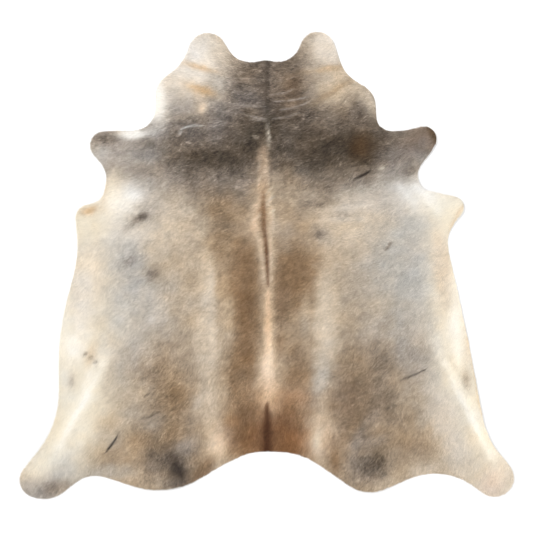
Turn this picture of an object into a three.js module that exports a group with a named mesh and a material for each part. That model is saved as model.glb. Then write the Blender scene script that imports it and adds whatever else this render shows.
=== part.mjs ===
import * as THREE from "three";

// A cowhide rug: one tanned hide with its hair on, lying on a floor, in millimetres.
// x runs to the right of the hide, y from the tail to the neck and z up from the floor.

// Driving dimensions
const LEATHER = 2.2; // the tanned skin
const COAT = 2.8; // the hair, lying flat on the skin
const THICKNESS = LEATHER + COAT;
const EDGE_UNDERCUT = 1.5; // the knife leaves the skin a little wider on its hair side
const EDGE_SLOPE = 4; // the hair thins out over this width along the edge

// How finely the edge is stepped
const LONGEST_STEP = 55;
const TURN_PER_STEP = THREE.MathUtils.degToRad(16);

// The trimmed edge, clockwise from the neck. Each row is one rounded stretch: a circle with its centre
// and radius. A lobe bulges outwards and a bay cuts in, and straight tangents join one to the next.
const LOBE = 1;
const BAY = -1;
const EDGE = [
  { part: "neck point", kind: LOBE, x: 0, y: 890, radius: 36 },
  { part: "neck, right", kind: BAY, x: 55, y: 1017, radius: 100 },
  { part: "cheek, right", kind: LOBE, x: 232, y: 970, radius: 82 },
  { part: "throat, right", kind: BAY, x: 480, y: 960, radius: 150 },
  { part: "shoulder, right", kind: LOBE, x: 400, y: 722, radius: 95 },
  { part: "forearm, right", kind: BAY, x: 560, y: 668, radius: 62 },
  { part: "foreleg top, right", kind: BAY, x: 580, y: 935, radius: 328 },
  { part: "foreleg, right", kind: LOBE, x: 711, y: 570, radius: 58 },
  { part: "armpit, right", kind: BAY, x: 757, y: 406, radius: 74 },
  { part: "elbow, right", kind: LOBE, x: 842, y: 264, radius: 50 },
  { part: "ribs, right", kind: BAY, x: 975, y: 102, radius: 157 },
  { part: "belly, right", kind: LOBE, x: -1345, y: -790, radius: 2300 },
  { part: "flank, right", kind: BAY, x: 1292, y: -628, radius: 323 },
  { part: "hind leg, right", kind: LOBE, x: 1026, y: -952, radius: 89 },
  { part: "hock, right", kind: BAY, x: 758, y: -1225, radius: 290 },
  { part: "rump, right", kind: LOBE, x: 466, y: -852, radius: 168 },
  { part: "tail, right", kind: BAY, x: 45, y: -1171, radius: 334 },
  { part: "tail, left, upper", kind: BAY, x: -25, y: -1037, radius: 200 },
  { part: "tail, left, lower", kind: BAY, x: 93, y: -1425, radius: 602 },
  { part: "rump, left", kind: LOBE, x: -487, y: -632, radius: 378 },
  { part: "hock, left", kind: BAY, x: -770, y: -1085, radius: 140 },
  { part: "hind leg, left, heel", kind: LOBE, x: -1000, y: -913, radius: 138 },
  { part: "hind leg, left, tip", kind: LOBE, x: -1032, y: -965, radius: 79 },
  { part: "flank, left", kind: BAY, x: -1358, y: -567, radius: 425 },
  { part: "belly, left", kind: LOBE, x: 385, y: -467, radius: 1320 },
  { part: "ribs, left", kind: BAY, x: -1450, y: 100, radius: 600 },
  { part: "elbow, left", kind: LOBE, x: -800, y: 215, radius: 59 },
  { part: "armpit, left, lower", kind: BAY, x: -790, y: 343, radius: 62 },
  { part: "armpit, left, upper", kind: BAY, x: -825, y: 392, radius: 105 },
  { part: "foreleg, left", kind: LOBE, x: -730, y: 540, radius: 64 },
  { part: "forearm, left", kind: BAY, x: -594, y: 702, radius: 93 },
  { part: "shoulder, left", kind: LOBE, x: -403, y: 766, radius: 98 },
  { part: "throat, left", kind: BAY, x: -536, y: 1026, radius: 190 },
  { part: "cheek, left", kind: LOBE, x: -264, y: 958, radius: 89 },
  { part: "neck, left", kind: BAY, x: -72, y: 1022, radius: 107 },
];

// Where the hide doesn't lie quite flat: soft swells, each along a line, that lift it off the floor.
// reach is how far the swell spreads to either side of its line, and rise is its height.
const SWELLS = [
  { part: "flank, left", from: [-730, -420], to: [-990, -880], reach: 150, rise: 8 },
  { part: "flank, right", from: [800, -420], to: [1020, -900], reach: 150, rise: 8 },
  { part: "belly, left", from: [-940, -160], to: [-930, -330], reach: 120, rise: 6 },
  { part: "belly, right", from: [900, -60], to: [925, -300], reach: 110, rise: 6 },
  { part: "armpit, left", from: [-720, 290], to: [-850, 190], reach: 130, rise: 7 },
  { part: "armpit, right", from: [690, 330], to: [880, 240], reach: 130, rise: 7 },
  { part: "foreleg, left", from: [-770, 570], to: [-790, 500], reach: 110, rise: 6 },
  { part: "foreleg, right", from: [740, 600], to: [750, 530], reach: 110, rise: 6 },
  { part: "cheek, left", from: [-290, 1020], to: [-230, 1030], reach: 110, rise: 5 },
  { part: "cheek, right", from: [210, 1030], to: [270, 1020], reach: 110, rise: 5 },
  { part: "rump, left", from: [-560, -990], to: [-380, -1000], reach: 100, rise: 5 },
  { part: "rump, right", from: [400, -1010], to: [520, -990], reach: 100, rise: 5 },
];

// The mesh runs in loops round the hide, from its spine out to its edge. Each point of a loop lies
// on a rib, a straight line from the spine to a point of the edge. A rib leaves the spine at a share
// of the y where it ends, and all the ribs beyond the spine's own ends start from those.
const SPINE_SHARE = 0.55;
const SPINE = { tail: -100, neck: 300 };
const RIB_SHARES = [0.12, 0.32, 0.52, 0.7, 0.85, 0.95]; // how far out along the ribs the loops are

// The directed tangent from one round to the next: the unit vector that points from each round's
// centre to where the tangent touches it, for a round of kind LOBE.
function tangentNormal(from, to) {
  const across = new THREE.Vector2(to.x - from.x, to.y - from.y);
  const distance = across.length();
  const along = (from.kind * from.radius - to.kind * to.radius) / distance;
  if (Math.abs(along) > 1) throw new Error(`no tangent from ${from.part} to ${to.part}`);
  const ahead = across.divideScalar(distance);
  const left = new THREE.Vector2(-ahead.y, ahead.x);
  return ahead.multiplyScalar(along).addScaledVector(left, Math.sqrt(1 - along * along));
}

// The edge as a path of arcs, which absarc joins by straight lines.
function edgePath() {
  const path = new THREE.Path();
  EDGE.forEach((round, i) => {
    const before = EDGE.at(i - 1);
    const after = EDGE[(i + 1) % EDGE.length];
    const start = tangentNormal(before, round).multiplyScalar(round.kind);
    const end = tangentNormal(round, after).multiplyScalar(round.kind);
    path.absarc(round.x, round.y, round.radius, start.angle(), end.angle(), round.kind === LOBE);
  });
  return path.closePath();
}

// Points round the edge, clockwise, closer together where it turns, each with its outward normal.
function edgePoints() {
  const points = [];
  for (const curve of edgePath().curves) {
    const length = curve.getLength();
    const turn = curve.isEllipseCurve ? length / curve.xRadius : 0;
    const steps = Math.ceil(Math.max(length / LONGEST_STEP, turn / TURN_PER_STEP));
    for (let i = 0; i < steps; i += 1) {
      const tangent = curve.getTangentAt(i / steps);
      points.push({
        at: curve.getPointAt(i / steps),
        outward: new THREE.Vector2(-tangent.y, tangent.x),
      });
    }
  }
  return points;
}

// How far the skin's underside is off the floor at a point.
function lift(point) {
  let height = 0;
  for (const swell of SWELLS) {
    const line = new THREE.Line3(
      new THREE.Vector3(...swell.from, 0),
      new THREE.Vector3(...swell.to, 0),
    );
    const here = new THREE.Vector3(point.x, point.y, 0);
    const nearest = line.closestPointToPoint(here, true, new THREE.Vector3());
    const share = Math.min(1, nearest.distanceTo(here) / swell.reach);
    height = Math.max(height, swell.rise * (1 - share * share) ** 2);
  }
  return height;
}

// One loop of the mesh: where each rib has a point, at a height above the skin's underside.
function loopAt(edge, share, height) {
  return edge.map(({ at }) => {
    const root = THREE.MathUtils.clamp(at.y * SPINE_SHARE, SPINE.tail, SPINE.neck);
    const point = new THREE.Vector2(0, root).lerp(at, share);
    return new THREE.Vector3(point.x, point.y, lift(point) + height);
  });
}

// One loop along the edge itself, set in by a distance.
function rimLoop(edge, inset, height) {
  return edge.map(({ at, outward }) => {
    const point = at.clone().addScaledVector(outward, -inset);
    return new THREE.Vector3(point.x, point.y, lift(point) + height);
  });
}

// The hide as loops from the middle of its underside, out round its edge and back to the middle of
// its hair side. Strips join the loops, and a flat patch along the spine closes each face.
function hideGeometry() {
  const edge = edgePoints();
  const loops = [
    ...RIB_SHARES.map((share) => loopAt(edge, share, 0)),
    rimLoop(edge, EDGE_UNDERCUT, 0),
    rimLoop(edge, 0, LEATHER),
    rimLoop(edge, EDGE_SLOPE, THICKNESS),
    ...RIB_SHARES.toReversed().map((share) => loopAt(edge, share, THICKNESS)),
  ];
  const count = edge.length;
  const indices = [];
  for (let loop = 0; loop + 1 < loops.length; loop += 1) {
    for (let i = 0; i < count; i += 1) {
      const next = (i + 1) % count;
      const [a, b] = [loop * count + i, loop * count + next];
      const [c, d] = [a + count, b + count];
      indices.push(a, c, b, b, c, d);
    }
  }
  const last = (loops.length - 1) * count;
  const middle = loops[0].map((point) => new THREE.Vector2(point.x, point.y));
  for (const [a, b, c] of THREE.ShapeUtils.triangulateShape(middle, [])) {
    indices.push(a, c, b, last + a, last + b, last + c);
  }
  const geometry = new THREE.BufferGeometry().setFromPoints(loops.flat());
  geometry.setIndex(indices);
  return geometry;
}

// The hide stands on the floor with the middle of its outline over the origin.
function centred(geometry) {
  geometry.computeBoundingBox();
  const middle = geometry.boundingBox.getCenter(new THREE.Vector3());
  return geometry.translate(-middle.x, -middle.y, 0);
}

const geometry = centred(hideGeometry());
geometry.computeVertexNormals();

const hide = new THREE.Mesh(
  geometry,
  new THREE.MeshStandardMaterial({ color: 0xb7a48d, roughness: 0.8, metalness: 0 }),
);
hide.name = "hide";

const rug = new THREE.Group();
rug.add(hide);

export default rug;
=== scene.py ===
import math
from collections import namedtuple

import bpy
import numpy as np
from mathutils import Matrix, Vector
from mathutils.bvhtree import BVHTree
from mathutils.geometry import delaunay_2d_cdt


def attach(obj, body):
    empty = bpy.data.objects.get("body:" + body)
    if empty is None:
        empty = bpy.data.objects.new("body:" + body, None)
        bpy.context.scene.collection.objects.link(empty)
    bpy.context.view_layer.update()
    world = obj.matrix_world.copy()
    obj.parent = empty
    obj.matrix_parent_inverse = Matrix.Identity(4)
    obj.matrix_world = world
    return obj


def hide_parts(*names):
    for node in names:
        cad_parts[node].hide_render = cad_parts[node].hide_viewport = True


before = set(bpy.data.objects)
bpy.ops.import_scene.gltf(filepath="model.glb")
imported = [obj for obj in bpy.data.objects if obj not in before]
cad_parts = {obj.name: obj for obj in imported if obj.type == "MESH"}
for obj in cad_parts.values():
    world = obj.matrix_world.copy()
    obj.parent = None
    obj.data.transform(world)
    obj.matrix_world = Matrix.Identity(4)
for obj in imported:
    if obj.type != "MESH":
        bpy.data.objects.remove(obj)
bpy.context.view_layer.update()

# A cowhide rug: a skin with the CAD's outline and swells, and on it a coat of pointed locks of hair in
# the colours of its markings. The tables are in millimetres in the CAD's frame.
MM = 0.001
SEED = 7  # of the draws that strew the locks

# The skin
SKIN_THICKNESS = 2.2 * MM
SKIN_GRID = 13 * MM  # spacing of the skin's points
ROW_STEP = SKIN_GRID * math.sqrt(0.75)  # the rows of points make even triangles
EDGE_STEP = 9 * MM  # spacing of the points along the skin's edge
EDGE_SMOOTHINGS = 2  # how often those are averaged with their neighbours
EDGE_GAP = 0.65 * SKIN_GRID  # no other point is closer to the edge than this
EDGE_INSET = 4 * MM  # the hair hangs over the skin's edge by this much
SWELL_BLUR = 30 * MM  # the facets of the CAD's swells are smoothed out over this
BLUR_POINTS = 6  # places round each point that its height is averaged with
LOOKS_DOWN = -0.9  # the underside's normals are below this
SAME_PLACE = 5  # decimals of a metre to which the CAD's corners are one
SKIN_UNEVENNESS = 1.2 * MM
SKIN_SHADE = 0.9  # its brightness between the locks, against theirs

# The locks. A stretch of hair is ruffled by 1 on the ribs and by less where it lies sleek.
LOCKS_PER_M2 = 285000
LOCK_LENGTH = (9 * MM, 17 * MM)
LOCK_WIDTH = (1.1 * MM, 2.0 * MM)
LOCK_RISE = (1.2 * MM, 3.4 * MM)  # how far tips stand off the skin
SLEEK_RISE = 0.5  # the share of it that hair has without being ruffled
SLEEKEST = 0.15  # the least that a lock is ruffled
LOCK_ROLL = 0.7 * MM  # how far a lock may be lifted on one side of its root
ROOT_LIFT = 0.1 * MM  # from the skin to the locks' roots
TUFT_PULL = 2.5 * MM  # how far tips gather into tufts
MOST_TUFTED = 2  # more ruffled hair than this gathers no further
TIP_OVERHANG = (0.5 * MM, 3 * MM)  # how far tips reach past the hide's edge
TIP_DROOP = 0.5  # how far tips sink for their reach past the skin's edge
LOWEST_TIP = 0.4 * MM  # above the skin's underside
EDGE_TURN = 0.45  # how far the hair at the hide's edge turns outwards
EDGE_TURN_REACH = 14 * MM  # and how far inwards that carries

# How bright a lock's root and tip are against its colour, and what being ruffled adds
ROOT_SHADE, ROOT_RUFFLED = 0.95, -0.05
TIP_SHADE, TIP_RUFFLED = 0.99, 0.04
LOCK_SHADE = 0.068  # how much single locks differ in brightness on the ribs
PALE_GREYING = 0.6  # how far a lock turns grey where it is lighter
COLOUR_RANGE = (0.02, 0.985)  # no hair is darker or paler, of 1

# Noise. A layer is how wide its blobs are in millimetres, how strong it is, and its seed.
Layer = namedtuple("Layer", "size strength seed")
LATTICE = 97  # cells after which the noise repeats
STRAY_X = [Layer(90, 14, 1), Layer(30, 8, 2)]  # how far broad markings wander, in millimetres
STRAY_Y = [Layer(90, 14, 3), Layer(30, 8, 4)]
FRAY_X = [Layer(11, 1, 15)]  # which way the edges of the markings fray
FRAY_Y = [Layer(11, 1, 16)]
LINE_GAPS = [Layer(13, 1.3, 12)]  # where broken lines are missing
MOTTLE = [Layer(130, 0.03, 5)]  # the coat is lighter and darker in patches
RUFFLED_MOTTLE = [Layer(60, 0.025, 6)]  # and more so where it is ruffled
DAPPLE = [Layer(22, 0.035, 7)]
WARMTH = [Layer(85, 0.02, 8), Layer(35, 0.012, 9)]  # and redder and bluer
WANDER = [Layer(75, 0.6, 11), Layer(30, 0.4, 14)]  # how the hair's direction strays
PARTING_SHADE_PATCHES = [Layer(75, 1, 13)]  # where the coat gets painted shade along the lines where it parts
FOLD_STRAY_X = [Layer(80, 8, 21)]  # how far the folds wander, in millimetres
FOLD_STRAY_Y = [Layer(80, 8, 22)]
UNEVENNESS = [Layer(75, 0.35, 23), Layer(28, 0.15, 24)]  # of the skin
UNEVEN_MIDDLE = 0.5  # added to it, so that it only lifts the skin
DAPPLE_WIDTH = 2  # dapples are so many times wider than they are long
BLUE_LOSS = 1.4  # the blue that a warm patch loses for the red it gains
SHIFT_ROOM = 1.35  # pale hair shifts less: by this minus its colour
PARTING_SHADE_SHARE = 0.3  # added to the noise, so that more of the coat gets that painted shade
WISP_START = 0.5  # noise above this makes pale wisps
PARTING_SHADE_SHARPNESS = 5  # how narrow the lines of painted shade where the coat parts are

# Noise drawn out along the coat. stretch is how many times longer than wide its blobs are.
Brush = namedtuple("Brush", "width stretch strength seed")
GRAIN = [Brush(5.5, 1.7, 0.045, 40), Brush(12, 1.7, 0.035, 60), Brush(38, 1.3, 0.045, 80)]
WISPS = Brush(5, 2.4, 0.1, 100)
# painted shade in the lines where the coat parts
PARTING_SHADE = Brush(17, 1.6, 0.07, 120)
TUFTS = Brush(10, 3, TUFT_PULL, 140)
FAN = 20  # degrees between the directions that it is worked out in
FANS = range(-3, 8)  # the multiples of FAN among the hair's directions

# The markings
WOBBLY_WIDTH = 60  # narrower marks than this wander less, in proportion
RAG = 4.5  # how ragged the edges of the markings are, in millimetres
LINE_RAG = 1.6  # and those of the thin lines
LINE_TAPER = 0.6  # how much thinner a line is at its ends than in its middle
GAP_SHARE = 0.5  # how much of a broken line is missing on average
MARK_REACH = 4  # a mark is left out further off than this many times its size

# The direction of the hair
LAY_REACH = 260  # how far a place's direction carries
LAY_WANDER = 26  # degrees that whole patches stray from it
LAY_JITTER = 9  # degrees that single locks stray

# From brightness to light, as screens have it
SCREEN_KNEE = 0.04045
SCREEN_SLOPE = 12.92
SCREEN_OFFSET = 0.055
SCREEN_POWER = 2.4

# Names of mesh layers
COLOUR_LAYER = "coat"
MAP_LAYER = "OFBake"

# For making meshes
CHUNK = 4000  # points that are measured against the edge at a time
INSIDE_ONLY = 1  # leaves out the triangles outside the edge
MERGE_DISTANCE = 1e-7
TINY = 1e-12  # stands in for a rise of nothing

# The materials, with how fine and how detailed their noise is
Finish = namedtuple("Finish", "roughness specular noise detail", defaults=[0, 0])
HAIR = Finish(0.65, 0.12, 160, 2)
SUEDE = Finish(0.95, 0.1, 22, 6)
FLOOR = Finish(0.9, 0.1)
HAIR_RANGE = (0.97, 1.03)  # how far its noise darkens and lightens it
SUEDE_RANGE = (0.3, 0.75)  # where in its noise the dark and the pale suede are
SUEDE_DARK = (0.45, 0.36, 0.27, 1)
SUEDE_PALE = (0.62, 0.53, 0.42, 1)
FLOOR_COLOUR = (0.8, 0.8, 0.8, 1)

# The floor and the light, in metres and watts
FLOOR_REACH = 30  # from its middle to its sides
FLOOR_DROP = 0.5 * MM  # the floor is this far under the hide
WORLD_COLOUR = (1, 1, 1, 1)
WORLD_LIGHT = 0.98
Lamp = namedtuple("Lamp", "name x y z size power")
LAMPS = [
    Lamp("key", -3.2, 2.6, 4.2, 3.0, 203),
    Lamp("fill", 3.6, -1.5, 4.5, 4.0, 81),
]

# The photograph looks straight down, at nearly the middle of the hide
PICTURE_PIXELS = 533
PIXEL = 4.5 * MM
PICTURE_CENTRE = (-1.7 * MM, -4.6 * MM)
LENS = 85
SENSOR = 36
CAMERA_SIGHT = 100  # how far the camera sees, in metres

# Where each stretch of the coat is: above one y and up to another, and from one x to below another
NECK_LINE = 560
SHOULDER_LINE = 150
LOIN_LINE = -430
SPINE = 0
FAR = math.inf
Stretch = namedtuple("Stretch", "name low_y high_y low_x high_x")
STRETCHES = [Stretch(*row) for row in (
    ("coat_neck", NECK_LINE, FAR, -FAR, FAR),
    ("coat_shoulders", SHOULDER_LINE, NECK_LINE, -FAR, FAR),
    ("coat_barrel_left", LOIN_LINE, SHOULDER_LINE, -FAR, SPINE),
    ("coat_barrel_right", LOIN_LINE, SHOULDER_LINE, SPINE, FAR),
    ("coat_rump_left", -FAR, LOIN_LINE, -FAR, SPINE),
    ("coat_rump_right", -FAR, LOIN_LINE, SPINE, FAR),
)]

# What each tone looks like, as red, green and blue from 0 to 255 as the eye sees them, and how
# ruffled the hair is where it grows: 1 on the ribs, less where it lies sleek
Tone = namedtuple("Tone", "red green blue ruffle")
TONES = {name: Tone(*values) for name, *values in (
    ("white", 249, 247, 242, 0.15),
    ("cream", 243, 234, 215, 0.15),
    ("oat", 227, 218, 199, 0.2),
    ("milk", 226, 220, 212, 0.45),
    ("pearl", 232, 222, 209, 0.45),
    ("blush", 222, 203, 186, 0.5),
    ("peach", 236, 216, 192, 0.5),
    ("apricot", 232, 202, 170, 0.9),
    ("amber", 206, 172, 130, 0.8),
    ("sand", 210, 194, 172, 0.9),
    ("beige", 191, 174, 152, 1.1),
    ("tan", 170, 145, 115, 1.3),
    ("fawn", 145, 121, 94, 2.0),
    ("umber", 120, 90, 61, 1.7),
    ("copper", 168, 117, 76, 1.3),
    ("rust", 112, 73, 45, 1.4),
    ("walnut", 76, 56, 36, 1.6),
    ("bark", 64, 34, 18, 1.2),
    ("silver", 193, 188, 181, 0.9),
    ("frost", 188, 188, 186, 0.9),
    ("dove", 170, 160, 151, 1.1),
    ("taupe", 134, 121, 108, 2.1),
    ("steel", 122, 115, 111, 2.4),
    ("lilac", 138, 131, 129, 2.6),
    ("mink", 120, 101, 86, 1.3),
    ("slate", 104, 92, 81, 2.9),
    ("soot", 76, 65, 53, 3.1),
    ("char", 48, 41, 37, 1.8),
)}
GROUND_TONE = "beige"

# The coat's markings, painted in this order: each is a soft oval with its middle, its half length and
# half width, the direction of its length in degrees, how much it covers, and how sharp its edge is
Mark = namedtuple("Mark", "name tone x y long wide tilt strength edge", defaults=[4])
MARKS = [Mark(*row) for row in (
    # grey flanks, pale ribs and the cream edges of the belly
    ("flank left", "silver", -625, -120, 400, 140, 92, 0.95),
    ("flank right", "frost", 640, 0, 430, 165, 96, 0.95),
    ("flank right front", "dove", 590, 262, 80, 44, 80, 0.45),
    ("flank right low", "silver", 690, -280, 190, 90, 95, 0.8),
    ("flank right hind", "dove", 692, -415, 140, 58, 95, 0.75),
    ("flank right middle", "dove", 690, 60, 70, 60, 90, 0.4),
    ("flank right inner", "sand", 525, -30, 150, 60, 95, 0.25),
    ("flank right shadow", "steel", 655, -425, 90, 60, 80, 0.12),
    ("ribs right low", "silver", 472, -345, 120, 62, 90, 0.75),
    ("ribs right glow", "pearl", 472, -368, 84, 46, 90, 0.65),
    ("ribs left low", "silver", -500, -310, 130, 75, 90, 0.8),
    ("ribs left glow", "pearl", -490, -262, 80, 44, 90, 0.45),
    ("flank left low", "dove", -620, -430, 90, 70, 0, 0.45),
    ("flank left edge", "tan", -714, -462, 70, 44, 80, 0.3),
    ("flank left hind", "dove", -712, -372, 54, 40, 80, 0.7),
    ("ribs left front", "pearl", -600, 160, 90, 40, 5, 0.55),
    ("shoulder left", "dove", -620, 440, 220, 120, 0, 0.85),
    ("shoulder left pale", "silver", -555, 490, 110, 42, 0, 0.8),
    ("shoulder left low", "silver", -440, 388, 90, 40, 0, 0.35),
    ("shoulder right", "silver", 560, 350, 200, 90, 10, 0.6),
    ("ribs left", "sand", -450, 150, 190, 110, 70, 0.55),
    ("ribs left pale", "sand", -389, -210, 110, 50, 90, 0.25),
    ("ribs left cool", "milk", -540, 250, 120, 100, 0, 0.18),
    ("ribs left tan", "tan", -389, 61, 60, 50, 0, 0.18),
    ("ribs right", "sand", 400, 200, 220, 110, 20, 0.8),
    ("ribs right front", "pearl", 425, 275, 170, 45, 12, 0.6, 3),
    ("shoulder right shade", "dove", 495, 277, 60, 40, 0, 0.3),
    ("ribs right outer", "milk", 475, 165, 60, 46, 0, 0.22),
    ("belly left", "oat", -905, -330, 760, 195, 94, 1.0, 5),
    ("belly right", "cream", 930, -330, 760, 155, 99, 1.0, 5),
    ("belly right hind", "cream", 860, -520, 200, 90, 100, 0.7),
    ("belly left peach", "peach", -790, -10, 160, 50, 95, 0.35),
    ("belly left shade", "sand", -842, -90, 120, 40, 92, 0.75),
    ("belly right peach", "peach", 785, 0, 150, 38, 95, 0.6),
    ("belly right shade", "sand", 790, -90, 110, 30, 97, 0.4),
    ("belly right front shade", "sand", 796, 61, 60, 40, 90, 0.3),
    ("belly left white", "white", -905, -470, 200, 32, 92, 0.3),
    ("belly left pale", "white", -862, -370, 62, 46, 94, 0.7),
    ("belly left chill", "milk", -825, -110, 150, 55, 92, 0.5),
    ("belly left milk", "milk", -830, -225, 100, 46, 94, 0.6),
    ("belly right white", "white", 855, -320, 120, 38, 95, 0.4),
    ("belly right oat", "oat", 912, -480, 150, 30, 98, 0.5),
    ("belly right yellow", "peach", 912, -390, 60, 30, 95, 0.35),
    ("armpit left", "white", -665, 282, 145, 60, 30, 0.78),
    ("armpit left low", "milk", -705, 165, 66, 54, 0, 0.75),
    ("armpit edge left", "cream", -718, 388, 95, 56, 90, 1.0),
    ("armpit rim left", "amber", -732, 342, 74, 14, 88, 0.3, 3),
    ("elbow left", "oat", -815, 205, 100, 105, 90, 0.9),
    ("elbow rim left", "amber", -800, 247, 34, 16, 10, 0.75, 3),
    ("armpit right", "white", 700, 312, 140, 70, 150, 0.85),
    ("elbow right", "cream", 830, 255, 90, 70, 0, 0.9),
    # the loins and thighs
    ("loin left", "fawn", -430, -600, 260, 125, 95, 0.85),
    ("loin left upper", "sand", -389, -475, 60, 50, 0, 0.25),
    ("loin left outer", "sand", -550, -587, 80, 50, 0, 0.25),
    ("loin left low", "fawn", -470, -850, 170, 100, 0, 0.9),
    ("thigh left", "tan", -650, -880, 140, 90, 20, 0.75),
    ("thigh left blotch", "amber", -722, -725, 60, 50, 60, 0.25),
    ("thigh left edge", "cream", -815, -755, 100, 34, 60, 0.5),
    ("rump edge left", "fawn", -283, -705, 60, 40, 80, 0.4),
    ("thigh left pale", "silver", -690, -925, 110, 36, 8, 0.55),
    ("loin right", "fawn", 430, -630, 300, 160, 85, 0.9),
    ("thigh right", "tan", 660, -780, 130, 110, 60, 0.7),
    ("thigh right low", "fawn", 680, -810, 60, 44, 20, 0.5),
    ("thigh right pale", "sand", 800, -770, 100, 52, 80, 0.42),
    # the saddle to either side of the spine
    ("saddle left", "tan", -160, -20, 350, 105, 88, 0.85, 5),
    ("withers left", "fawn", -215, 265, 190, 80, 90, 0.8),
    ("withers left dark", "slate", -283, 380, 80, 54, 0, 0.74),
    ("withers left blue", "lilac", -92, 375, 62, 42, 70, 0.5),
    ("withers left pale", "sand", -290, 165, 60, 34, 70, 0.62, 3),
    ("withers left outer", "sand", -389, 277, 60, 50, 0, 0.3),
    ("withers right", "tan", 150, 378, 80, 40, 0, 0.5),
    ("withers right brown", "fawn", 105, 220, 110, 60, 0, 0.2),
    ("withers right pale", "pearl", 200, 120, 100, 64, 5, 0.65),
    ("withers right dark", "taupe", 262, 285, 44, 24, 0, 0.35),
    ("streak right shoulder upper", "pearl", 372, 266, 84, 13, 4, 0.6, 3),
    ("streak right shoulder lower", "pearl", 335, 206, 95, 10, 2, 0.55, 3),
    ("streak right shoulder inner", "peach", 150, 195, 60, 10, 0, 0.5, 3),
    ("saddle right", "tan", 168, -95, 315, 96, 92, 0.85),
    ("back left", "umber", -102, -50, 180, 62, 90, 0.7, 5),
    ("back left middle", "umber", -78, -270, 140, 42, 90, 0.65, 5),
    ("back left low", "umber", -116, -480, 150, 60, 86, 0.85, 6),
    ("back left outer", "umber", -126, -310, 130, 40, 90, 0.5, 6),
    ("back right", "umber", 136, -40, 140, 68, 90, 0.6, 5),
    ("back right inner", "umber", 62, -100, 190, 32, 90, 0.5),
    ("back right hind", "sand", 64, -480, 80, 26, 90, 0.25),
    ("back right shadow", "umber", 52, -360, 60, 28, 90, 0.4),
    ("back right smudge", "fawn", 98, -190, 60, 36, 60, 0.5, 3),
    ("saddle left worn", "sand", -182, -270, 150, 36, 90, 0.52),
    ("saddle right worn", "beige", 152, -310, 90, 40, 90, 0.4),
    ("saddle right grey", "mink", 75, -160, 60, 26, 80, 0.4, 3),
    ("rump left", "fawn", -160, -570, 250, 70, 88, 0.6),
    ("rump right", "umber", 152, -500, 150, 62, 92, 0.6),
    ("rump", "umber", 8, -750, 190, 162, 90, 0.9, 8),
    ("rump rust", "rust", 36, -785, 130, 124, 90, 0.8),
    ("rump edge", "amber", 5, -850, 150, 26, 0, 0.25, 3),
    ("rump olive left", "walnut", -118, -757, 52, 38, 20, 0.75, 3),
    ("rump olive right", "walnut", 82, -800, 56, 34, 0, 0.6, 3),
    # pale streaks outside the saddle
    ("streak left", "sand", -275, -280, 380, 46, 90, 0.75, 6),
    ("streak left low", "sand", -228, -756, 146, 47, 95, 0.95),
    ("streak left loin", "sand", -208, -592, 80, 30, 88, 0.45),
    ("streak right", "sand", 264, -250, 240, 54, 90, 0.9, 6),
    ("streak right inner", "sand", 174, -222, 115, 20, 90, 0.4),
    ("streak right low", "peach", 245, -760, 130, 50, 85, 0.6),
    ("glint left front", "pearl", -256, -88, 60, 24, 80, 0.55, 3),
    ("glint left middle", "pearl", -247, -313, 70, 24, 95, 0.45, 3),
    ("glint left loin", "pearl", -312, -612, 60, 30, 60, 0.6, 3),
    ("glint left rump", "peach", -212, -802, 70, 44, 70, 0.78, 3),
    ("rump copper left", "copper", -135, -755, 80, 66, 0, 0.25),
    ("rump copper right", "copper", 140, -800, 130, 52, 0, 0.5),
    ("rump right pale", "apricot", 135, -592, 44, 50, 0, 0.35),
    ("rump right pink", "copper", 95, -595, 100, 46, 0, 0.35),
    ("rump left upper", "umber", -130, -665, 90, 50, 0, 0.35),
    ("glint right front", "pearl", 258, -175, 60, 24, 85, 0.4, 3),
    ("glint right middle", "pearl", 268, -330, 70, 26, 85, 0.4, 3),
    ("glint right loin", "silver", 248, -505, 85, 36, 75, 0.7, 3),
    ("glint right rump", "cream", 228, -790, 48, 28, 90, 0.7, 3),
    # the dark cape over the withers, and the neck
    ("cape lower left", "taupe", -270, 415, 200, 80, 0, 0.9),
    ("cape lower right", "taupe", 350, 418, 200, 50, 8, 0.65),
    ("cape", "slate", 40, 545, 500, 118, 2, 0.9, 6),
    ("cape right end", "slate", 545, 495, 120, 60, 0, 0.65),
    ("cape upper right", "slate", 402, 668, 118, 66, 12, 0.96),
    ("cape right shoulder", "slate", 450, 600, 110, 60, 0, 0.7),
    ("shoulder top left", "taupe", -480, 615, 110, 70, 30, 0.65),
    ("cape upper left", "slate", -375, 600, 120, 65, 0, 0.9),
    ("neck base far left", "dove", -388, 726, 88, 38, 0, 0.7),
    ("neck base haze", "silver", -236, 716, 66, 32, 95, 0.7),
    ("neck base left", "steel", -185, 690, 90, 60, 0, 0.85),
    ("neck base right", "slate", 190, 690, 120, 65, 0, 0.94),
    ("cape dark left", "soot", -235, 490, 170, 60, 0, 0.75),
    ("cape dark middle", "soot", -110, 558, 110, 56, 0, 0.7),
    ("cape dark right", "soot", 320, 530, 240, 90, 5, 0.85),
    ("cape brown", "walnut", 428, 533, 66, 50, 20, 0.85),
    ("cape pale haze", "lilac", -190, 622, 112, 48, 10, 0.62),
    ("neck", "slate", 15, 800, 210, 190, 90, 0.96, 6),
    ("neck left cool", "lilac", -95, 740, 76, 44, 0, 0.4),
    ("neck right brown", "umber", 130, 785, 110, 72, 90, 0.35),
    ("neck right upper", "taupe", 104, 896, 62, 32, 30, 0.75, 3),
    ("withers", "soot", -25, 608, 130, 60, 0, 0.84),
    ("cheek left", "milk", -335, 915, 160, 115, 65, 0.95, 5),
    ("cheek left inner", "silver", -222, 800, 66, 32, 100, 0.6, 3),
    ("cheek right", "pearl", 272, 985, 95, 74, 95, 0.9, 5),
    ("throat right", "sand", 302, 812, 104, 72, 35, 0.8),
    ("shoulder edge right", "sand", 476, 712, 48, 26, 100, 0.75, 3),
    ("throat edge right", "sand", 430, 775, 70, 22, 120, 0.5),
    ("shoulder edge left", "white", -500, 740, 110, 50, 90, 0.9),
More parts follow.
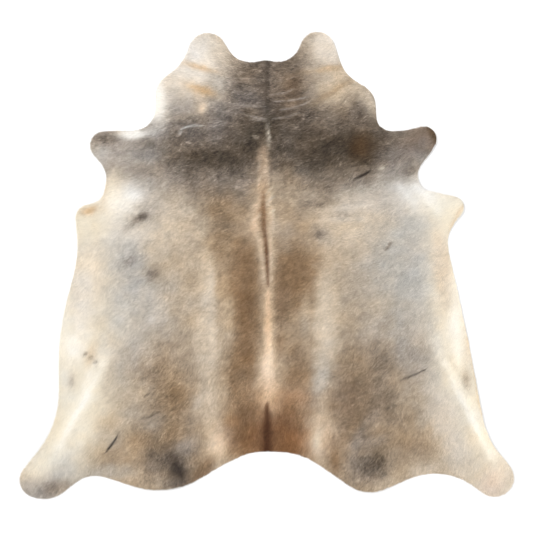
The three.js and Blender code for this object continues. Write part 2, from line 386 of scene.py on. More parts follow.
    ("cheek amber left", "amber", -300, 893, 75, 13, -16, 0.6, 3),
    ("cheek amber low left", "amber", -290, 787, 66, 18, -22, 0.8, 3),
    ("cheek amber right", "amber", 268, 884, 80, 12, 8, 0.5, 3),
    ("cheek tan low right", "tan", 300, 786, 92, 13, 32, 0.55, 3),
    ("neck midline", "char", 1, 800, 135, 5, 90, 0.6, 3),
    ("neck pale spot", "peach", -287, 706, 25, 16, 75, 0.9),
    ("withers speck", "sand", -49, 578, 9, 7, 0, 0.6, 3),
    # the legs
    ("foreleg left", "dove", -705, 480, 110, 52, 60, 0.8),
    ("foreleg tip left", "slate", -715, 577, 68, 26, 0, 0.8),
    ("foreleg tip left pale", "silver", -765, 505, 30, 26, 60, 0.4),
    ("foreleg edge left", "white", -605, 590, 78, 22, 2, 0.85),
    ("foreleg right", "mink", 705, 570, 115, 66, 30, 0.85),
    ("foreleg base right", "dove", 600, 500, 60, 30, 20, 0.35, 3),
    ("foreleg right low", "silver", 690, 490, 50, 30, 0, 0.35),
    ("armpit right above", "taupe", 592, 396, 50, 24, 0, 0.35),
    ("foreleg right pale", "dove", 708, 556, 40, 30, 30, 0.35),
    ("foreleg tip right", "walnut", 748, 588, 50, 13, 108, 0.7, 3),
    ("foreleg smudge right", "slate", 644, 425, 34, 20, 0, 0.6, 3),
    ("hind leg left", "cream", -1010, -905, 120, 80, 60, 0.75),
    ("hind leg left grey", "silver", -930, -915, 75, 45, 50, 0.5),
    ("hind toe left", "dove", -1008, -1012, 125, 50, 8, 0.95),
    ("hind toe left dark", "taupe", -960, -1006, 84, 26, 15, 0.6),
    ("thigh right edge", "pearl", 690, -920, 64, 30, 10, 0.5),
    ("hind leg right pale", "milk", 907, -905, 60, 40, 0, 0.35),
    ("hind toe right", "blush", 1022, -985, 72, 56, 60, 0.8),
    ("thigh right grey", "silver", 700, -695, 60, 36, 70, 0.35),
    # the ridges of the flanks, bright on top and greyer in the hollow beside them: cream hair with
    # painted highlights along the crests, and hollows that are partly greyer hair and partly painted
    # shade, over folds that are also made in the skin
    ("ridge left", "cream", -860, -665, 235, 27, 61, 0.95, 3),
    ("ridge left crest", "white", -850, -660, 180, 13, 62, 0.6, 3),
    ("ridge left upper", "white", -800, -500, 80, 20, 70, 0.4, 3),
    ("hollow left", "oat", -932, -690, 120, 32, 62, 0.7, 3),
    ("ridge right upper", "white", 845, -270, 110, 24, 92, 0.45, 3),
    ("ridge right", "cream", 905, -660, 220, 24, 117, 0.85, 3),
    ("ridge right crest", "white", 900, -655, 180, 12, 117, 0.55, 3),
    ("hollow right", "pearl", 800, -690, 190, 60, 112, 0.52),
    # dark patches on the loins
    ("smudge left loin", "fawn", -400, -570, 70, 46, 30, 0.8, 3),
    ("smudge left loin low", "fawn", -497, -803, 62, 40, 0, 0.68),
    ("loin left pale", "silver", -497, -700, 60, 36, 20, 0.3),
    ("smudge left thigh", "slate", -510, -890, 56, 46, 0, 0.45),
    ("patch left rump pale above", "dove", -374, -822, 60, 36, 30, 0.8),
    ("patch left rump", "slate", -420, -902, 82, 54, 116, 0.85),
    ("patch left rump core", "char", -405, -920, 58, 28, 114, 0.82, 3),
    ("patch left rump foot", "slate", -412, -984, 46, 24, 8, 0.6, 3),
    ("patch left rump outer", "umber", -290, -925, 70, 34, 50, 0.65),
    ("smudge right loin", "mink", 361, -605, 90, 58, 90, 0.4, 3),
    ("loin right outer", "taupe", 585, -700, 60, 44, 80, 0.3),
    ("loin right grey", "dove", 475, -705, 60, 34, 80, 0.35),
    ("patch right rump pale above", "dove", 480, -795, 60, 30, 10, 0.5),
    ("patch right rump", "slate", 456, -900, 84, 58, 15, 0.75),
    ("patch right rump core", "soot", 488, -884, 46, 32, 40, 0.5, 3),
    ("patch right rump pale beside", "dove", 412, -790, 92, 24, 71, 0.6, 3),
    ("patch right rump fleck", "umber", 308, -884, 46, 22, 100, 0.65, 3),
    ("smudge right flank", "taupe", 520, -500, 110, 50, 80, 0.45, 3),
    # the spine
    ("spine withers line", "cream", 7, 582, 46, 5, 95, 0.7, 3),
    ("spine front", "apricot", -17, 436, 115, 29, 88, 0.56, 6),
    ("spine glow upper", "sand", 36, 385, 50, 40, 90, 0.25),
    ("spine glow", "apricot", -22, 225, 120, 46, 88, 0.3),
    ("spine glow left", "apricot", -50, 192, 50, 17, 84, 0.7),
    ("spine whorl", "umber", -17, 236, 90, 14, 88, 0.6),
    ("spine whorl flick", "cream", 16, 300, 24, 6, 70, 0.5, 3),
    ("spine whorl flick below", "cream", 24, 235, 20, 6, 100, 0.5, 3),
    ("spine back", "apricot", 3, -330, 255, 18, 90, 0.95),
    ("spine back wide", "peach", 7, -468, 92, 30, 90, 0.9),
    ("spine back end", "apricot", 8, -580, 84, 50, 90, 0.7, 3),
    # spots and smudges
    ("spot left shoulder", "slate", -560, 220, 30, 15, 35, 0.85, 3),
    ("spot left shoulder tail", "slate", -606, 190, 56, 12, 38, 0.3, 3),
    ("spot left ribs", "slate", -517, -40, 36, 26, 20, 0.6, 3),
    ("spot left flank", "slate", -620, 20, 34, 20, 40, 0.45, 3),
    ("spot right ribs", "slate", 234, 142, 30, 18, 0, 0.65, 3),
    ("spot right withers", "slate", 284, 353, 34, 24, 10, 0.6, 3),
    ("spot right back", "slate", 221, 277, 40, 12, 0, 0.45, 3),
    ("spot right back outer", "slate", 330, 225, 34, 12, 10, 0.35, 3),
    ("smudge left belly", "dove", -880, -520, 30, 16, 80, 0.45, 3),
    ("spots left belly", "amber", -785, -402, 44, 22, 70, 0.35, 3),
    ("speck left belly upper", "taupe", -812, -398, 7, 6, 0, 0.7, 3),
    ("speck left belly middle", "slate", -790, -412, 8, 6, 0, 0.8, 3),
    ("speck left belly lower", "slate", -768, -436, 8, 6, 0, 0.8, 3),
    ("smudge right belly", "beige", 898, -515, 40, 18, 95, 0.7, 3),
    ("speck right shoulder", "cream", 519, 436, 12, 7, 20, 0.7, 3),
    ("speck right rump", "slate", 437, -772, 11, 9, 0, 0.7, 3),
)]

# Thin marks: scars, creases and rims, each from one end to the other, and widest in its middle. bow is
# how far the middle bulges to the left of that way, and broken is how much of it is missing in places.
Line = namedtuple("Line", "name tone x1 y1 x2 y2 width bow strength broken")
LINES = [Line(*row) for row in (
    ("spine front edge right", "soot", 19, 545, 15, 340, 4, 0, 0.45, 0.5),
    ("spine front edge left", "slate", -32, 500, -52, 330, 6, -3, 0.4, 0.6),
    ("spine front wisp left", "cream", -26, 500, -44, 420, 4, 2, 0.5, 0.4),
    ("spine front wisp middle", "peach", -2, 520, -14, 400, 5, 2, 0.5, 0.4),
    ("spine front wisp low", "cream", -28, 420, -48, 350, 4, 2, 0.45, 0.4),
    ("spine edge left", "peach", -54, 188, -12, -80, 9, 6, 0.65, 0.4),
    ("spine edge right upper", "apricot", 8, 330, 20, 190, 7, 0, 0.5, 0.6),
    ("spine edge right", "peach", 24, 196, 18, -75, 8, -3, 0.75, 0.3),
    ("spine core", "rust", -20, 330, -15, 160, 6, 3, 0.85, 0.3),
    ("spine parting", "rust", -14, 195, 4, -92, 8, 3, 1.0, 0),
    ("spine dark line", "bark", -12, 178, 4, -100, 4.5, 3, 0.9, 0.1),
    ("tail line", "bark", 1, -628, 1, -930, 25, 0, 0.82, 0.1),
    ("flick right upper", "cream", -4, 316, 26, 352, 4, 3, 0.5, 0.2),
    ("flick right middle", "silver", 4, 282, 36, 312, 4, 3, 0.5, 0.2),
    ("flick right lower", "slate", 4, 262, 38, 282, 4, 3, 0.5, 0.2),
    ("flick right lowest", "cream", 10, 226, 34, 252, 5, 3, 0.5, 0.2),
    ("flick left upper", "apricot", -28, 300, -56, 268, 5, 4, 0.5, 0.2),
    ("flick left middle", "rust", -30, 262, -48, 238, 4, 3, 0.4, 0.2),
    ("flick left lower", "peach", -30, 232, -64, 204, 6, 4, 0.6, 0.2),
    ("crease upper left", "dove", -157, 839, -31, 834, 5, 4, 0.35, 1),
    ("crease upper right", "dove", 14, 830, 149, 857, 5, -6, 0.35, 1),
    ("crease middle left", "dove", -200, 734, -10, 714, 6, -5, 0.78, 0.5),
    ("crease high right", "dove", 14, 768, 120, 792, 7, -6, 0.8, 0.5),
    ("crease middle right", "dove", 30, 738, 190, 758, 6, -5, 0.75, 0.5),
    ("crease outer right", "dove", 60, 700, 190, 735, 6, -6, 0.7, 0.5),
    ("crease low left", "dove", -135, 692, -8, 657, 6, -4, 0.85, 0.5),
    ("crease low right", "dove", 24, 660, 149, 688, 6, -6, 0.78, 0.5),
    ("crease lowest left", "dove", -76, 655, 0, 650, 5, 0, 0.7, 0.7),
    ("shade high left", "char", -150, 748, -10, 742, 6, -4, 0.3, 0.8),
    ("shade high right", "char", 20, 752, 170, 778, 6, -6, 0.35, 0.8),
    ("shade middle right", "char", 20, 676, 150, 708, 6, -6, 0.35, 0.8),
    ("scar left shoulder", "silver", -390, 610, -288, 627, 5.5, 9, 1.0, 0.15),
    ("scar left shoulder low", "silver", -393, 586, -388, 612, 5.5, 0, 0.9, 0.1),
    ("mark right shoulder", "char", 392, 389, 464, 425, 7, -3, 0.9, 0),
    ("mark right ribs", "slate", 532, 66, 556, 104, 7, 0, 0.75, 0.2),
    ("scar left thigh", "char", -726, -842, -672, -766, 6, -2, 0.85, 0),
    ("scar right flank", "char", 603, -515, 716, -466, 4, -3, 0.75, 0.3),
    ("scar right loin", "slate", 531, -650, 581, -632, 5, 4, 0.6, 0.3),
    ("curl left loin upper", "soot", -555, -590, -500, -572, 6, 3, 0.45, 0.2),
    ("curl left loin lower", "soot", -570, -690, -480, -655, 6, -5, 0.45, 0.2),
    ("curl left loin inner", "soot", -440, -660, -370, -620, 6, 5, 0.35, 0.3),
    ("rim right elbow", "amber", 902, 290, 822, 100, 12, -18, 0.3, 0.1),
    ("rim right belly", "amber", 872, -180, 938, -530, 6, 6, 0.3, 0),
    ("rim right flank", "amber", 938, -530, 1010, -770, 6, -12, 0.25, 0),
)]

# Which way the hair lies: the direction of its streaks at places on the hide, which blend in between.
# The tips point the other way, towards the tail.
Lay = namedtuple("Lay", "name x y degrees")
LAYS = [Lay(*row) for row in (
    ("neck left", -220, 850, -8),
    ("neck middle", 0, 780, 4),
    ("neck right", 230, 850, 24),
    ("shoulder left", -520, 450, 22),
    ("shoulder right", 520, 450, 28),
    ("withers left", -150, 480, 35),
    ("withers right", 150, 480, 30),
    ("back left", -170, 100, 32),
    ("back right", 170, 100, 10),
    ("saddle left", -150, -350, 60),
    ("saddle right", 150, -350, 45),
    ("tail", 0, -760, 78),
    ("ribs left", -450, 60, 38),
    ("ribs right", 450, 60, 26),
    ("loin left", -450, -500, 47),
    ("loin right", 450, -500, 45),
    ("flank left", -850, -250, 55),
    ("flank right", 850, -250, 60),
    ("hind leg left", -980, -920, 58),
    ("hind leg right", 980, -920, 68),
)]

# Small folds that lift the skin along a line, how wide each is to either side, and how high
Fold = namedtuple("Fold", "name x1 y1 x2 y2 width height")
FOLDS = [Fold(*row) for row in (
    ("flank left", -745, -450, -960, -830, 30, 5.0),
    ("flank right", 845, -230, 850, -440, 26, 3.6),
    ("thigh right", 800, -450, 1000, -860, 28, 4.6),
    ("armpit left", -690, 310, -760, 200, 24, 2.4),
    ("armpit right", 670, 350, 750, 250, 24, 2.4),
    ("neck upper left", -180, 780, 0, 765, 9, 1.6),
    ("neck upper right", 0, 765, 190, 775, 9, 1.6),
    ("neck middle left", -170, 722, 0, 705, 8, 1.3),
    ("neck middle right", 0, 705, 200, 722, 8, 1.3),
    ("neck lower left", -150, 668, 0, 655, 8, 1.2),
    ("neck lower right", 0, 655, 210, 668, 8, 1.2),
    ("spine front", 0, 540, -5, 80, 10, 1.2),
    ("spine back", -5, 80, 0, -560, 14, 1.4),
)]


# Noise and colour


def eased(share):
    """A share from 0 to 1 that starts and ends gently."""
    return share * share * (3 - 2 * share)


def clouds(x, y, size, seed):
    """Smooth noise from -1 to 1 whose blobs are about one size across."""
    lattice = np.random.default_rng(seed).uniform(-1.0, 1.0, (LATTICE, LATTICE))
    column, row = np.floor(x / size).astype(int), np.floor(y / size).astype(int)
    across, up = eased(x / size - column), eased(y / size - row)
    column, row = column % LATTICE, row % LATTICE
    next_column, next_row = (column + 1) % LATTICE, (row + 1) % LATTICE
    low = lattice[column, row] * (1 - across) + lattice[next_column, row] * across
    high = lattice[column, next_row] * (1 - across) + lattice[next_column, next_row] * across
    return low * (1 - up) + high * up


def layered(x, y, layers):
    """Layers of smooth noise, added up by their strengths."""
    return sum(layer.strength * clouds(x, y, layer.size, layer.seed) for layer in layers)


def turned(x, y, degrees):
    """Coordinates along and across a direction."""
    cosine, sine = np.cos(np.radians(degrees)), np.sin(np.radians(degrees))
    return x * cosine + y * sine, y * cosine - x * sine


def brushed(x, y, angle, brush):
    """Smooth noise from about -1 to 1 whose blobs are drawn out along the coat."""
    total = np.zeros_like(x)
    power = np.zeros_like(x)
    for fan in FANS:
        weight = np.clip(1 - np.abs(angle / FAN - fan), 0, 1)
        near = weight > 0
        along, across = turned(x[near], y[near], fan * FAN)
        noise = clouds(along / brush.stretch, across, brush.width, brush.seed + fan)
        total[near] += weight[near] * noise
        power[near] += weight[near] ** 2
    return total / np.sqrt(power)


def tone_values(name):
    """A tone's red, green and blue from 0 to 1, and its ruffle."""
    tone = TONES[name]
    return np.array([tone.red / 255, tone.green / 255, tone.blue / 255, tone.ruffle])


def mark_cover(mark, x, y):
    """How much a mark covers at points, from 0 to 1."""
    along, across = turned(x - mark.x, y - mark.y, mark.tilt)
    distance = np.hypot(along / mark.long, across / mark.wide)
    return mark.strength / (1 + distance**mark.edge)


def line_cover(line, x, y):
    """How much a thin line covers at points, from 0 to 1."""
    length = math.hypot(line.x2 - line.x1, line.y2 - line.y1)
    tilt = math.degrees(math.atan2(line.y2 - line.y1, line.x2 - line.x1))
    along, across = turned(x - line.x1, y - line.y1, tilt)
    place = np.clip(along / length, 0, 1)
    arch = 4 * place * (1 - place)  # 0 at the ends of the line and 1 in its middle
    distance = np.hypot(along - place * length, across - line.bow * arch)
    width = line.width * (1 - LINE_TAPER * (1 - arch))
    gaps = np.clip(GAP_SHARE + layered(x, y, LINE_GAPS), 0, 1)
    return line.strength * np.exp(-((distance / width) ** 2)) * (1 - line.broken * gaps)


def painted(x, y):
    """The tones' values at points in millimetres, with all the markings painted over the ground."""
    values = np.ones(x.shape + (4,)) * tone_values(GROUND_TONE)
    stray_x, stray_y = layered(x, y, STRAY_X), layered(x, y, STRAY_Y)
    fray_x, fray_y = layered(x, y, FRAY_X), layered(x, y, FRAY_Y)
    frayed_x, frayed_y = x + RAG * fray_x, y + RAG * fray_y
    for mark in MARKS:
        reach = MARK_REACH * max(mark.long, mark.wide)
        near = np.hypot(x - mark.x, y - mark.y) < reach
        stray = min(1, mark.wide / WOBBLY_WIDTH)
        strayed_x = frayed_x[near] + stray * stray_x[near]
        strayed_y = frayed_y[near] + stray * stray_y[near]
        cover = mark_cover(mark, strayed_x, strayed_y)
        values[near] += cover[:, None] * (tone_values(mark.tone) - values[near])
    frayed_x, frayed_y = x + LINE_RAG * fray_x, y + LINE_RAG * fray_y
    for line in LINES:
        middle_x, middle_y = (line.x1 + line.x2) / 2, (line.y1 + line.y2) / 2
        reach = math.hypot(line.x2 - line.x1, line.y2 - line.y1) / 2 + MARK_REACH * line.width
        near = np.hypot(x - middle_x, y - middle_y) < reach
        cover = line_cover(line, frayed_x[near], frayed_y[near])
        values[near] += cover[:, None] * (tone_values(line.tone) - values[near])
    return values


def coat_colour(x, y):
    """The hair at points of the hide in millimetres: its colour as the eye sees it, and its ruffle."""
    values = painted(x, y)
    colour, ruffle = values[..., :3], values[..., 3]
    ruffled = layered(x, y, RUFFLED_MOTTLE) + layered(x / DAPPLE_WIDTH, y, DAPPLE)
    mottle = layered(x, y, MOTTLE) + ruffle * ruffled
    warmth = layered(x, y, WARMTH)
    shift = np.stack([mottle + warmth, mottle, mottle - BLUE_LOSS * warmth], -1)
    return colour * (1 + shift * (SHIFT_ROOM - colour)), ruffle


def linear(colour):
    """A colour as the eye sees it, turned into light."""
    curve = ((colour + SCREEN_OFFSET) / (1 + SCREEN_OFFSET)) ** SCREEN_POWER
    return np.where(colour <= SCREEN_KNEE, colour / SCREEN_SLOPE, curve)


def lay_direction(x, y):
    """The direction of the hair's streaks at points in millimetres, in degrees."""
    total = np.zeros_like(x)
    weights = np.zeros_like(x)
    for lay in LAYS:
        weight = 1 / (1 + ((x - lay.x) ** 2 + (y - lay.y) ** 2) / LAY_REACH**2) ** 2
        total += weight * lay.degrees
        weights += weight
    return total / weights + LAY_WANDER * layered(x, y, WANDER)


def shading(x, y, angle, ruffle):
    """How much lighter, above 0, or darker, below 0, the coat's strands are than their colour, with
    painted shade along the lines where the coat parts.
    """
    grain = sum(brush.strength * brushed(x, y, angle, brush) for brush in GRAIN)
    wisps = np.clip(brushed(x, y, angle, WISPS) - WISP_START, 0, 1)
    parting_shade_lines = np.clip(1 - PARTING_SHADE_SHARPNESS * np.abs(brushed(x, y, angle, PARTING_SHADE)), 0, 1)
    parting_shade_patches = np.clip(PARTING_SHADE_SHARE + layered(x, y, PARTING_SHADE_PATCHES), 0, 1)
    pale = WISPS.strength * ruffle * wisps
    # painted shade along the lines where the coat parts
    dark = PARTING_SHADE.strength * parting_shade_lines * parting_shade_patches
    return ruffle * (grain + pale - dark)


# The skin


def rim_of(node):
    """The hide's edge as the CAD has it: the loop where faces that look up meet faces that look down."""
    mesh = node.data
    mesh.calc_loop_triangles()
    keys = {}
    places = [tuple(round(value, SAME_PLACE) for value in vertex.co) for vertex in mesh.vertices]
    corner = [keys.setdefault(place, len(keys)) for place in places]
    sides = {}
    for triangle in mesh.loop_triangles:
        if triangle.normal.z > 0:
            a, b, c = (corner[i] for i in triangle.vertices)
            sides.update({(a, b): True, (b, c): True, (c, a): True})
    following = {start: end for start, end in sides if (end, start) not in sides}
    loop = [next(iter(following))]
    while following[loop[-1]] != loop[0]:
        loop.append(following[loop[-1]])
    return np.array([list(keys)[i][:2] for i in loop])


def even_loop(points, step):
    """A closed loop's points, set out again at even steps and smoothed."""
    closed = np.vstack([points, points[:1]])
    lengths = np.hypot(*np.diff(closed, axis=0).T)
    along = np.concatenate([[0], np.cumsum(lengths)])
    count = round(along[-1] / step)
    at = np.arange(count) * along[-1] / count
    loop = np.column_stack([np.interp(at, along, closed[:, i]) for i in (0, 1)])
    for _ in range(EDGE_SMOOTHINGS):
        loop = (np.roll(loop, 1, 0) + 2 * loop + np.roll(loop, -1, 0)) / 4
    return loop


def outward_of(loop):
    """The outward direction at each point of a loop that runs anticlockwise."""
    ahead = np.roll(loop, -1, 0) - np.roll(loop, 1, 0)
    ahead /= np.hypot(*ahead.T)[:, None]
    return np.column_stack([ahead[:, 1], -ahead[:, 0]])


def inside(points, loop):
    """Which points are inside a closed loop."""
    x, y = points[:, :1], points[:, 1:]
    (x1, y1), (x2, y2) = loop.T, np.roll(loop, -1, 0).T
    spans = (y1 > y) != (y2 > y)
    rise = np.where(y1 == y2, TINY, y2 - y1)
    return (spans & (x < x1 + (y - y1) * (x2 - x1) / rise)).sum(1) % 2 == 1


def nearest_rim(points, loop):
    """How far points are from a loop, and the index of its nearest point."""
    distances, indices = [], []
    for part in np.array_split(points, len(points) // CHUNK + 1):
        squares = ((part[:, None] - loop[None]) ** 2).sum(2)
        distances.append(np.sqrt(squares.min(1)))
        indices.append(squares.argmin(1))
    return np.concatenate(distances), np.concatenate(indices)


def inner_points(loop):
    """Points in rows over the inside of a loop, a little away from it."""
    low, high = loop.min(0), loop.max(0)
    rows = np.arange(low[1], high[1], ROW_STEP)
    columns = np.arange(low[0], high[0], SKIN_GRID)
    x = columns[None] + np.where(np.arange(len(rows)) % 2, SKIN_GRID / 2, 0)[:, None]
    points = np.column_stack([x.ravel(), np.repeat(rows, len(columns))])
    points = points[inside(points, loop)]
    distance, _ = nearest_rim(points, loop)
    return points[distance > EDGE_GAP]


def underside_heights(node, points):
    """How far off the floor the CAD's underside is at points, with its facets smoothed out."""
    mesh = node.data
    faces = [tuple(t.vertices) for t in mesh.loop_triangles if t.normal.z < LOOKS_DOWN]
    tree = BVHTree.FromPolygons([v.co for v in mesh.vertices], faces)
    turns = np.arange(BLUR_POINTS) * 2 * math.pi / BLUR_POINTS
    offsets = [(0, 0)] + [(SWELL_BLUR * math.cos(a), SWELL_BLUR * math.sin(a)) for a in turns]
    heights = np.zeros(len(points))
    for i, (x, y) in enumerate(points):
        near = (tree.find_nearest(Vector((x + dx, y + dy, 0)))[0].z for dx, dy in offsets)
        heights[i] = sum(near) / len(offsets)
    return np.maximum(heights, 0)


def fold_heights(x, y):
    """How much the small folds and the skin's own unevenness add, at points in millimetres."""
    strayed_x, strayed_y = x + layered(x, y, FOLD_STRAY_X), y + layered(x, y, FOLD_STRAY_Y)
    total = np.zeros_like(x)
    for fold in FOLDS:
        along_x, along_y = fold.x2 - fold.x1, fold.y2 - fold.y1
        from_x, from_y = strayed_x - fold.x1, strayed_y - fold.y1
        share = (from_x * along_x + from_y * along_y) / (along_x * along_x + along_y * along_y)
        share = np.clip(share, 0, 1)
        distance = np.hypot(from_x - share * along_x, from_y - share * along_y)
        total = np.maximum(total, fold.height * MM * np.exp(-((distance / fold.width) ** 2)))
    return total + SKIN_UNEVENNESS * (UNEVEN_MIDDLE + layered(x, y, UNEVENNESS))


# The sheet's points underneath, its triangles, and each point's distance from the edge and way out
Skin = namedtuple("Skin", "points faces distance outward")


def skin_of(node):
    """The skin over a node of the CAD."""
    rim = even_loop(rim_of(node), EDGE_STEP)
    rim = rim - EDGE_INSET * outward_of(rim)
    flat = np.vstack([rim, inner_points(rim)])
    ring = [(i, (i + 1) % len(rim)) for i in range(len(rim))]
    made = delaunay_2d_cdt([Vector(p) for p in flat], ring, [], INSIDE_ONLY, MERGE_DISTANCE)
    flat = np.array([tuple(v) for v in made[0]])
    faces = np.array([tuple(f) for f in made[2]])
    distance, nearest = nearest_rim(flat, rim)
    heights = underside_heights(node, flat) + fold_heights(*(flat / MM).T)
    return Skin(np.column_stack([flat, heights]), faces, distance, outward_of(rim)[nearest])


def mesh_object(name, points, faces):
    """A mesh object of triangles."""
    mesh = bpy.data.meshes.new(name)
    mesh.vertices.add(len(points))
    mesh.vertices.foreach_set("co", np.asarray(points, np.float32).ravel())
    mesh.loops.add(len(faces) * 3)
    mesh.loops.foreach_set("vertex_index", np.asarray(faces, np.int32).ravel())
    mesh.polygons.add(len(faces))
    mesh.polygons.foreach_set("loop_start", np.arange(0, len(faces) * 3, 3, dtype=np.int32))
    mesh.update(calc_edges=True)
    made = bpy.data.objects.new(name, mesh)
    bpy.context.scene.collection.objects.link(made)
    return made


def paint(obj, colours):
    """Gives each point of a mesh its own colour."""
    layer = obj.data.color_attributes.new(COLOUR_LAYER, "FLOAT_COLOR", "POINT")
    layer.data.foreach_set("color", np.column_stack([colours, np.ones(len(colours))]).ravel())


def flat_map(obj):
    """Lays the piece's map out flat, as seen from above."""
    mesh = obj.data
    spots = np.empty(len(mesh.vertices) * 3, np.float32)
    mesh.vertices.foreach_get("co", spots)
    corners = np.empty(len(mesh.loops), np.int32)
    mesh.loops.foreach_get("vertex_index", corners)
    seen = spots.reshape(-1, 3)[corners][:, :2]
    low, high = seen.min(0), seen.max(0)
    layer = mesh.uv_layers.new(name=MAP_LAYER)
    layer.data.foreach_set("uv", ((seen - low) / (high - low).max()).ravel())


def skin_piece(name, skin, hair, suede):
    """The tanned skin as a sheet, with hair on top and suede under it and along its cut edge."""
    made = mesh_object(name, skin.points + [0, 0, SKIN_THICKNESS], skin.faces)
    colour, _ = coat_colour(skin.points[:, 0] / MM, skin.points[:, 1] / MM)
    paint(made, linear(colour * SKIN_SHADE))
    made.data.materials.append(hair)
    made.data.materials.append(suede)
    made.data.shade_smooth()
    solid = made.modifiers.new("thickness", "SOLIDIFY")
    solid.thickness = SKIN_THICKNESS
    solid.offset = -1  # downwards
    solid.material_offset = 1  # the suede
    solid.material_offset_rim = 1
    return made


# The coat


def strewn(skin, stretch, rng):
    """Roots strewn evenly over a stretch, with how far each is from the skin's edge and the way out."""
    corners = skin.points[skin.faces]
    first = corners[:, 1, :2] - corners[:, 0, :2]
    second = corners[:, 2, :2] - corners[:, 0, :2]
    area = np.abs(first[:, 0] * second[:, 1] - first[:, 1] * second[:, 0]) / 2
    x, y = corners.mean(1)[:, 0] / MM, corners.mean(1)[:, 1] / MM
    along = (y > stretch.low_y) & (y <= stretch.high_y)
    across = (x >= stretch.low_x) & (x < stretch.high_x)
    wanted = np.where(along & across, area, 0)
    count = int(wanted.sum() * LOCKS_PER_M2)
    chosen = rng.choice(len(skin.faces), count, p=wanted / wanted.sum())
    a, b = rng.random(count), rng.random(count)
    flip = a + b > 1
    a, b = np.where(flip, 1 - a, a), np.where(flip, 1 - b, b)
    weights = np.column_stack([1 - a - b, a, b])
    values = (skin.points, skin.distance, skin.outward)
    return [np.einsum("ij,ij...->i...", weights, v[skin.faces[chosen]]) for v in values]


def lock_headings(lay, sway, edge, out, rng):
    """The directions from roots to tips, which turn outwards along the hide's edge."""
    angle = np.radians(lay + sway * rng.normal(0, LAY_JITTER, len(lay)))
    heading = -np.column_stack([np.cos(angle), np.sin(angle)])
    turn = EDGE_TURN * np.exp(-((edge / EDGE_TURN_REACH) ** 2))[:, None]
    heading = heading * (1 - turn) + turn * out
    return heading / np.hypot(*heading.T)[:, None]


def lock_colours(root_colour, tip_colour, sway, shade):
    """The colours of each lock's two lower corners and its tip, turned into light."""
    root_colour = (ROOT_SHADE + ROOT_RUFFLED * sway)[:, None] * root_colour
    tip_colour = (TIP_SHADE + TIP_RUFFLED * sway)[:, None] * tip_colour
    ends = np.stack([root_colour, root_colour, tip_colour], 1)
    # A lighter strand is also greyer than its colour
    pale = np.clip(shade, 0, None)[:, None, None] * PALE_GREYING
    grey = ends.mean(2, keepdims=True)
    ends = ends * (1 + shade[:, None, None]) + pale * (grey - ends)
    return linear(np.clip(ends, *COLOUR_RANGE)).reshape(-1, 3)


def coat_piece(stretch, skin, hair, rng):
    """A stretch of hair: locks that each are one pointed blade, lying along the coat."""
    roots, edge, out = strewn(skin, stretch, rng)
    count = len(roots)
    x, y = roots[:, 0] / MM, roots[:, 1] / MM
    colour, ruffle = coat_colour(x, y)
    lay = lay_direction(x, y)
    sway = np.clip(ruffle, SLEEKEST, 1)
    heading = lock_headings(lay, sway, edge, out, rng)
    side = np.column_stack([-heading[:, 1], heading[:, 0]])
    length = rng.uniform(*LOCK_LENGTH, count)
    width = rng.uniform(*LOCK_WIDTH, count)
    rise = rng.uniform(*LOCK_RISE, count) * (SLEEK_RISE + (1 - SLEEK_RISE) * sway)
    gather = TUFTS.strength * np.clip(ruffle, 0, MOST_TUFTED) * brushed(x, y, lay, TUFTS)
    tip = roots[:, :2] + heading * length[:, None] + side * gather[:, None]
    # Past the hide's edge a tip is held back, and droops
    past = ((tip - roots[:, :2]) * out).sum(1) - edge - EDGE_INSET
    tip -= np.clip(past - rng.uniform(*TIP_OVERHANG, count), 0, None)[:, None] * out
    over = np.clip(((tip - roots[:, :2]) * out).sum(1) - edge, 0, None)
    top = roots[:, 2] + SKIN_THICKNESS
    tip_height = np.maximum(top + rise - TIP_DROOP * over, roots[:, 2] + LOWEST_TIP)
    roll = sway * rng.uniform(-LOCK_ROLL, LOCK_ROLL, count)
    base = side * (width / 2)[:, None]
    left = np.column_stack([roots[:, :2] + base, top + ROOT_LIFT + np.maximum(roll, 0)])
    right = np.column_stack([roots[:, :2] - base, top + ROOT_LIFT + np.maximum(-roll, 0)])
    end = np.column_stack([tip, tip_height])
    # The heading runs from the base to the tip, so right, left and tip turn anticlockwise from above
    corners = np.stack([right, left, end], 1).reshape(-1, 3)
    made = mesh_object(stretch.name, corners, np.arange(count * 3).reshape(-1, 3))
    shade = shading(x, y, lay, ruffle) + ruffle * rng.normal(0, LOCK_SHADE, count)
    tip_colour, _ = coat_colour(*(tip / MM).T)
    paint(made, lock_colours(colour, tip_colour, sway, shade))
    made.data.materials.append(hair)
    flat_map(made)
    return made


# Materials


def new_material(name, finish):
    """A material, its node tree and its shader."""
    material = bpy.data.materials.new(name)
    material.use_nodes = True
    shader = material.node_tree.nodes["Principled BSDF"]
    shader.inputs["Roughness"].default_value = finish.roughness
    shader.inputs["Specular IOR Level"].default_value = finish.specular
    return material, material.node_tree, shader


def noise_of(tree, finish):
    """A noise that stays with the object."""
    place = tree.nodes.new("ShaderNodeTexCoord")
    noise = tree.nodes.new("ShaderNodeTexNoise")
    noise.inputs["Scale"].default_value = finish.noise
    noise.inputs["Detail"].default_value = finish.detail
    tree.links.new(place.outputs["Object"], noise.inputs["Vector"])
    return noise.outputs["Fac"]


def hair_material():
    """Short, slightly glossy hair in the coat's own colours."""
    material, tree, shader = new_material("cow_hair", HAIR)
    colour = tree.nodes.new("ShaderNodeVertexColor")
    colour.layer_name = COLOUR_LAYER
    spread = tree.nodes.new("ShaderNodeMapRange")
    spread.inputs["To Min"].default_value = HAIR_RANGE[0]
    spread.inputs["To Max"].default_value = HAIR_RANGE[1]
    vary = tree.nodes.new("ShaderNodeVectorMath")
    vary.operation = "SCALE"
    tree.links.new(noise_of(tree, HAIR), spread.inputs["Value"])
    tree.links.new(colour.outputs["Color"], vary.inputs[0])
    tree.links.new(spread.outputs["Result"], vary.inputs["Scale"])
    tree.links.new(vary.outputs["Vector"], shader.inputs["Base Color"])
    return material


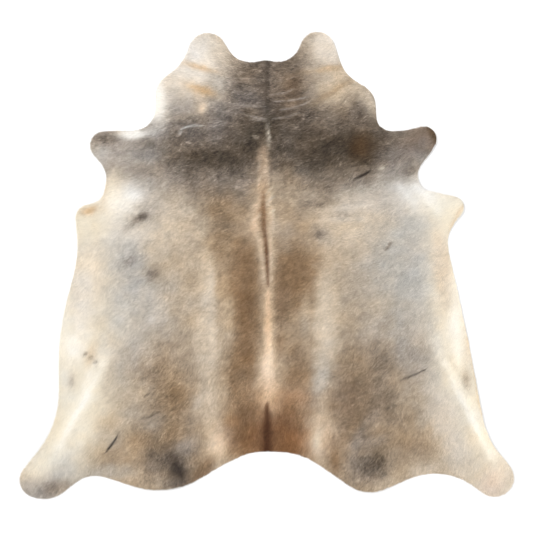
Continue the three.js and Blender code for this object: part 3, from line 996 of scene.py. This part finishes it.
def suede_material():
    """The flesh side and the cut edge: matt, a little mottled."""
    material, tree, shader = new_material("suede", SUEDE)
    ramp = tree.nodes.new("ShaderNodeValToRGB")
    stops = zip(ramp.color_ramp.elements, SUEDE_RANGE, (SUEDE_DARK, SUEDE_PALE))
    for stop, position, colour in stops:
        stop.position = position
        stop.color = colour
    tree.links.new(noise_of(tree, SUEDE), ramp.inputs["Fac"])
    tree.links.new(ramp.outputs["Color"], shader.inputs["Base Color"])
    return material


def floor_material():
    """A plain white floor."""
    material, _, shader = new_material("floor", FLOOR)
    shader.inputs["Base Color"].default_value = FLOOR_COLOUR
    return material


# The floor, the light and the camera


def floor_piece():
    """A wide floor just under the hide."""
    near, far = -FLOOR_REACH, FLOOR_REACH
    corners = [(near, near), (far, near), (far, far), (near, far)]
    points = [(x, y, -FLOOR_DROP) for x, y in corners]
    made = mesh_object("floor", points, [(0, 1, 2), (0, 2, 3)])
    made.data.materials.append(floor_material())
    return made


def light_studio():
    """Soft white light from all round, and two large lamps that look at the hide's middle."""
    world = bpy.data.worlds.new("studio")
    world.use_nodes = True
    background = world.node_tree.nodes["Background"]
    background.inputs["Color"].default_value = WORLD_COLOUR
    background.inputs["Strength"].default_value = WORLD_LIGHT
    bpy.context.scene.world = world
    for lamp in LAMPS:
        data = bpy.data.lights.new(lamp.name, "AREA")
        data.size = lamp.size
        data.energy = lamp.power
        light = bpy.data.objects.new(lamp.name, data)
        light.location = (lamp.x, lamp.y, lamp.z)
        light.rotation_euler = (-light.location).to_track_quat("-Z", "Y").to_euler()
        bpy.context.scene.collection.objects.link(light)


def place_camera():
    """A camera over the hide that sees as much as the photograph shows."""
    data = bpy.data.cameras.new("camera")
    data.lens = LENS
    data.sensor_width = SENSOR
    data.clip_end = CAMERA_SIGHT
    camera = bpy.data.objects.new("camera", data)
    camera.location = (*PICTURE_CENTRE, PICTURE_PIXELS * PIXEL * LENS / SENSOR)
    bpy.context.scene.collection.objects.link(camera)
    bpy.context.scene.camera = camera
    bpy.context.scene.view_settings.view_transform = "Standard"


# The pieces

hair = hair_material()
suede = suede_material()
skin = skin_of(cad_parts["hide"])
skin_object = skin_piece("hide_skin", skin, hair, suede)
rng = np.random.default_rng(SEED)
coats = [coat_piece(stretch, skin, hair, rng) for stretch in STRETCHES]

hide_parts("hide")
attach(skin_object, "root")
for coat in coats:
    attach(coat, "root")

floor = floor_piece()
light_studio()
place_camera()
